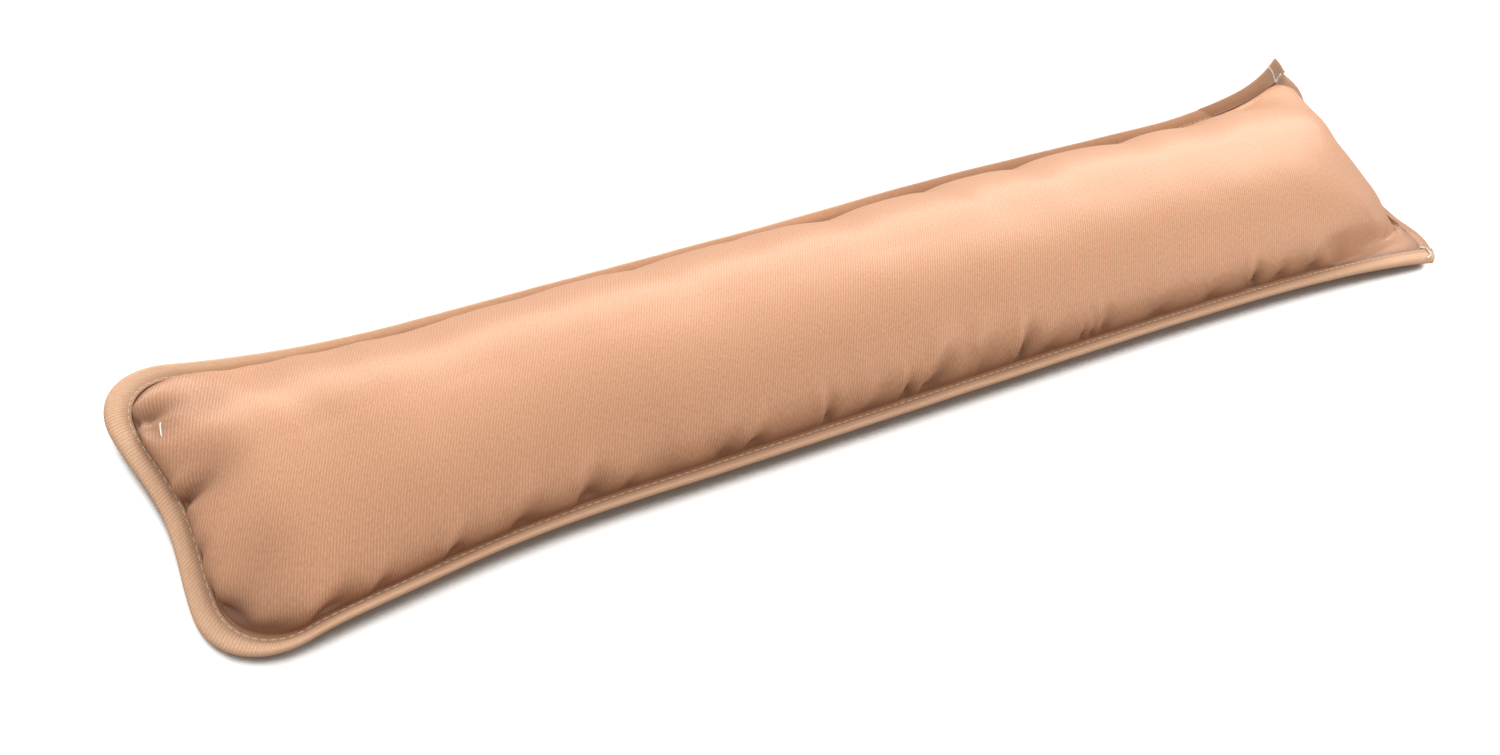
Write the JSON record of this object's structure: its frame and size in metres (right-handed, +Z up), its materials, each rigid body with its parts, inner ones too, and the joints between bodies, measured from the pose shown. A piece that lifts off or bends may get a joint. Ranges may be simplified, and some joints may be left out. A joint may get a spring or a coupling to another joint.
{
  "type": "draught excluder",
  "caption": "Long narrow filled cushion that lies along the foot of a door to stop draughts, with a bound edge and one sewn-up square end.",
  "frame": {"origin": "middle of the cushion's outline, on the surface that it lies on", "axes": "+X along the length towards the sewn-up square end, +Z up through the crown; the bound end with rounded corners is at -X"},
  "size_m": [0.8051, 0.1836, 0.0579],
  "materials": {
    "panel_satin": "satin-faced woven polyester, peach tan, fine ribs across the width",
    "tape_satin": "folded satin tape, browner tan, edge-stitched"
  },
  "bodies": {
    "root": {"filled_cushion": "panel_satin", "edge_binding": "tape_satin"}
  },
  "joints": []
}
